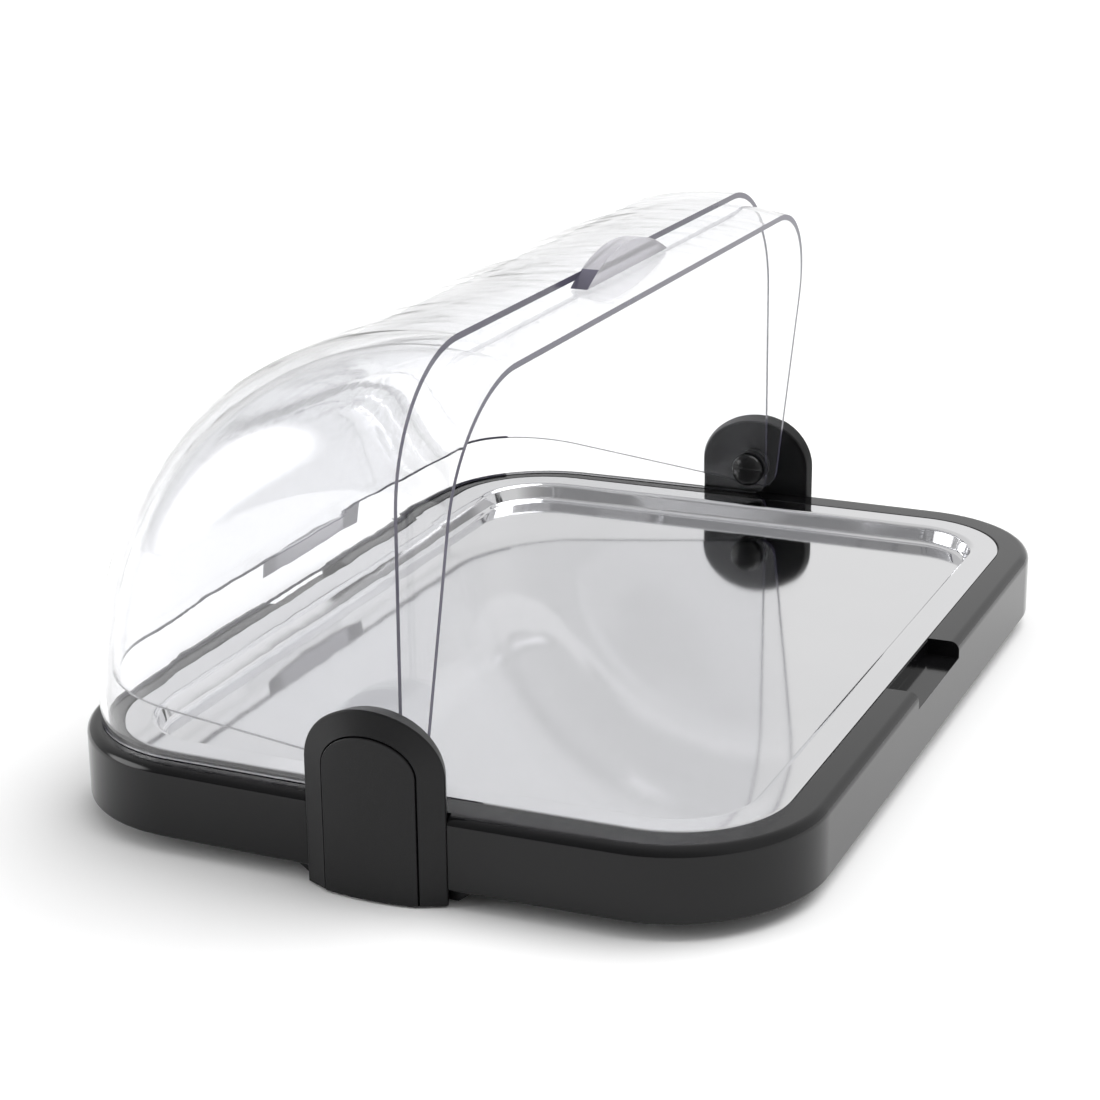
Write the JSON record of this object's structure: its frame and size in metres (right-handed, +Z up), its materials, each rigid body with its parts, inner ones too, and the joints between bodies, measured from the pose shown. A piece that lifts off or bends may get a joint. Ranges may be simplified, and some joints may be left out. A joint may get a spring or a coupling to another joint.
{
  "type": "roll-top display tray",
  "caption": "Low black buffet base with a polished steel tray under two clear quarter-round hoods that roll over each other on side pivots.",
  "frame": {"origin": "centre of the footprint, on the surface that the feet stand on", "axes": "+X along the long side, towards the right-hand bracket; -Y towards the front long side; +Z up"},
  "size_m": [0.4622, 0.32, 0.2143],
  "materials": {
    "gloss_black": "gloss black moulded plastic",
    "satin_black": "satin black moulded plastic",
    "steel": "mirror polished stainless steel",
    "clear": "clear moulded polycarbonate",
    "rubber": "black rubber",
    "zinc": "zinc plated steel",
    "nylon": "black nylon",
    "gel_case": "blue polyethylene",
    "plug": "white polyethylene"
  },
  "bodies": {
    "base": {"base_frame": "gloss_black", "base_pan": "satin_black", "foot_front_left": "rubber", "foot_front_right": "rubber", "foot_rear_left": "rubber", "foot_rear_right": "rubber", "pan_screw_1": "zinc", "pan_screw_2": "zinc", "pan_screw_3": "zinc", "pan_screw_4": "zinc", "bracket_screw_left_1": "zinc", "bracket_screw_left_2": "zinc", "clamp_screw_left": "zinc", "gel_pack_left": "gel_case", "pack_plug_left": "plug", "hood_washer_left": "nylon", "bracket_washer_left": "nylon", "pivot_pin_left": "zinc", "pivot_knob_left": "gloss_black", "bracket_left": "satin_black", "bracket_cover_left": "satin_black", "bracket_clamp_left": "satin_black", "bracket_screw_right_1": "zinc", "bracket_screw_right_2": "zinc", "clamp_screw_right": "zinc", "gel_pack_right": "gel_case", "pack_plug_right": "plug", "hood_washer_right": "nylon", "bracket_washer_right": "nylon", "pivot_pin_right": "zinc", "pivot_knob_right": "gloss_black", "bracket_right": "satin_black", "bracket_cover_right": "satin_black", "bracket_clamp_right": "satin_black"},
    "tray": {"steel_tray": "steel"},
    "outer_hood": {"outer_hood": "clear"},
    "inner_hood": {"inner_hood": "clear"}
  },
  "joints": [
    {"name": "outer_hood_roll", "type": "hinge", "parent": "base", "child": "outer_hood", "pos_m": [0, 0, 0.0528], "axis": [1, 0, 0], "range_deg": [0, 90]},
    {"name": "inner_hood_roll", "type": "hinge", "parent": "base", "child": "inner_hood", "pos_m": [0, 0, 0.0528], "axis": [1, 0, 0], "range_deg": [-6.5, 83.5]},
    {"name": "tray_lift", "type": "slide", "parent": "base", "child": "tray", "axis": [0, 0, 1], "range_m": [0, 0.006]}
  ]
}
